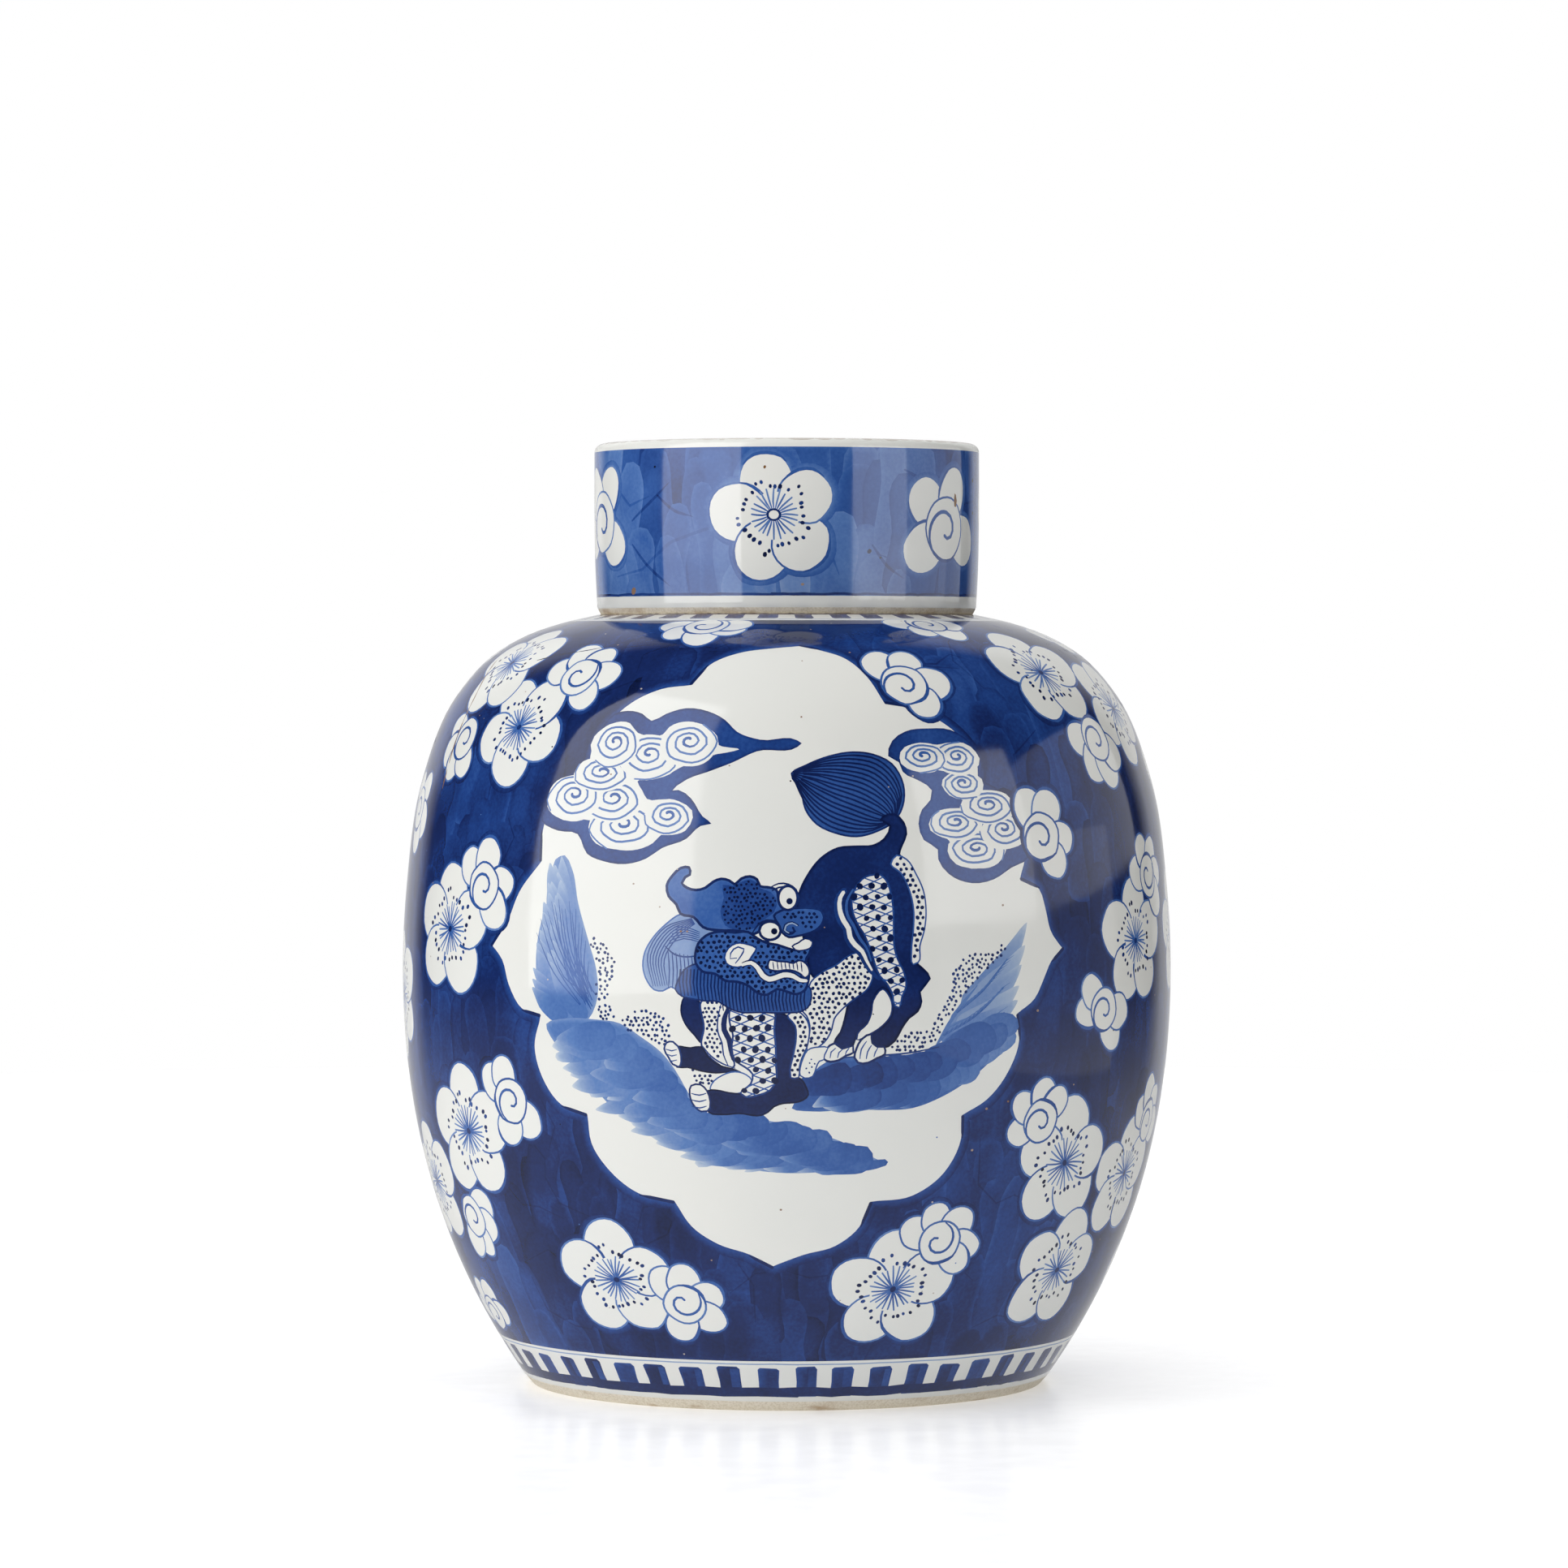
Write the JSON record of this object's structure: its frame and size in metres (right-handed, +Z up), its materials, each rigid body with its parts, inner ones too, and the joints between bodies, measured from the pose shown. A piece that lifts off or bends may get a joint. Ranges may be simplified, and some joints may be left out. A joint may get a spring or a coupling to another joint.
{
  "type": "ginger jar",
  "caption": "Lidded porcelain ginger jar with a swelling ovoid body, short upright neck, bare foot ring and flat-topped cap lid, painted in underglaze blue.",
  "frame": {"origin": "centre of the foot ring's resting face, on the jar's axis", "axes": "+Z up along the jar's axis, -Y towards the main painted panel"},
  "size_m": [0.25, 0.25, 0.305],
  "materials": {
    "jar_glaze": "glossy clear glaze over cobalt blue painting on white porcelain",
    "lid_glaze": "glossy clear glaze over cobalt blue painting on white porcelain, bare rim"
  },
  "bodies": {
    "jar": {"jar_body": "jar_glaze"},
    "lid": {"lid": "lid_glaze"}
  },
  "joints": [
    {"name": "lid_lift", "type": "slide", "parent": "jar", "child": "lid", "axis": [0, 0, 1], "range_m": [0, 0.12]}
  ]
}
